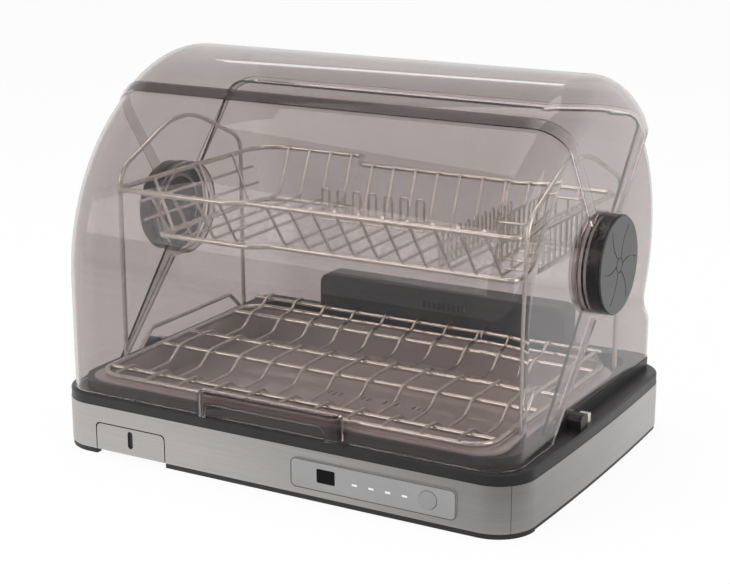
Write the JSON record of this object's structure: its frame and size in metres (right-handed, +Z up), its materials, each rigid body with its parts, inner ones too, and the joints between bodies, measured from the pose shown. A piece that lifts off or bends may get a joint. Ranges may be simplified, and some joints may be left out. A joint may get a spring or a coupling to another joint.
{
  "type": "countertop dish dryer",
  "caption": "Countertop dish dryer with a steel-clad base, smoky clear swing-up cover on side hubs, wire racks, water drawer and push-button control panel.",
  "frame": {"origin": "On the table under the middle of the part's box: the feet's undersides are at Z 0.", "axes": "+X to the user's right along the front, +Y to the back, +Z up."},
  "size_m": [0.485, 0.364, 0.357],
  "materials": {
    "black_plastic": "satin black",
    "rubber_foot": "matte",
    "brushed_steel": "brushed along the long way",
    "smoky_clear": "smoky clear plastic, polished",
    "silver_plastic": "silver paint",
    "black_gloss": "glossy black",
    "white_lens": "white",
    "grey_plastic": "dark grey",
    "dark_grey_plastic": "satin dark grey",
    "stainless_wire": "polished stainless wire",
    "pale_plastic": "satin",
    "zinc_steel": "zinc plated",
    "heater_alloy": "bare",
    "board_green": "solder mask"
  },
  "bodies": {
    "base": {"base_pan": "black_plastic", "foot_pads": "rubber_foot", "steel_front": "brushed_steel", "steel_wrap": "brushed_steel", "rim_frame": "black_plastic", "drip_tray": "smoky_clear", "control_panel": "silver_plastic", "display_window": "black_gloss", "indicator_lenses": "white_lens", "rear_cover": "smoky_clear", "hub_ring_left": "black_gloss", "hub_ring_right": "black_gloss", "hub_disc_left": "grey_plastic", "hub_disc_right": "grey_plastic", "blower_housing": "dark_grey_plastic", "lower_rack": "stainless_wire", "rack_loops": "stainless_wire", "arch_left": "stainless_wire", "arch_right": "stainless_wire", "upper_basket": "stainless_wire", "cutlery_cage": "stainless_wire", "rack_rails": "stainless_wire", "rack_cross_wires": "stainless_wire", "basket_wires": "stainless_wire", "basket_side_wires": "stainless_wire", "plate_combs": "stainless_wire", "cage_staves": "stainless_wire", "catch_blocks": "black_plastic", "strike_plates": "pale_plastic", "hinge_drum_left": "black_plastic", "hinge_drum_right": "black_plastic", "hub_screws": "zinc_steel", "blower_back": "dark_grey_plastic", "blower_stand": "black_plastic", "fan_motor": "zinc_steel", "heater_element": "heater_alloy", "heater_frame": "pale_plastic", "thermostat": "zinc_steel", "control_board": "board_green", "button_switch": "black_plastic", "button_spring": "zinc_steel", "cord_inlet": "rubber_foot", "base_screws": "zinc_steel", "housing_screws": "zinc_steel"},
    "cover": {"front_cover": "smoky_clear", "hinge_bush_left": "pale_plastic", "hinge_bush_right": "pale_plastic"},
    "drawer": {"drawer_front": "brushed_steel", "drawer_tray": "black_plastic"},
    "button": {"start_button": "grey_plastic"},
    "fan": {"fan_impeller": "dark_grey_plastic", "motor_shaft": "zinc_steel"}
  },
  "joints": [
    {"name": "cover_swing", "type": "hinge", "parent": "base", "child": "cover", "pos_m": [0, 0.017, 0.194], "axis": [-1, 0, 0], "range_deg": [0, 65]},
    {"name": "drawer_slide", "type": "slide", "parent": "base", "child": "drawer", "axis": [0, -1, 0], "range_m": [0, 0.12]},
    {"name": "button_push", "type": "slide", "parent": "base", "child": "button", "axis": [0, 1, 0], "range_m": [0, 0.001], "stiffness_N_per_m": 600},
    {"name": "fan_turn", "type": "hinge", "parent": "base", "child": "fan", "pos_m": [-0.07, 0.123, 0.0715], "axis": [0, 1, 0], "continuous": true}
  ]
}
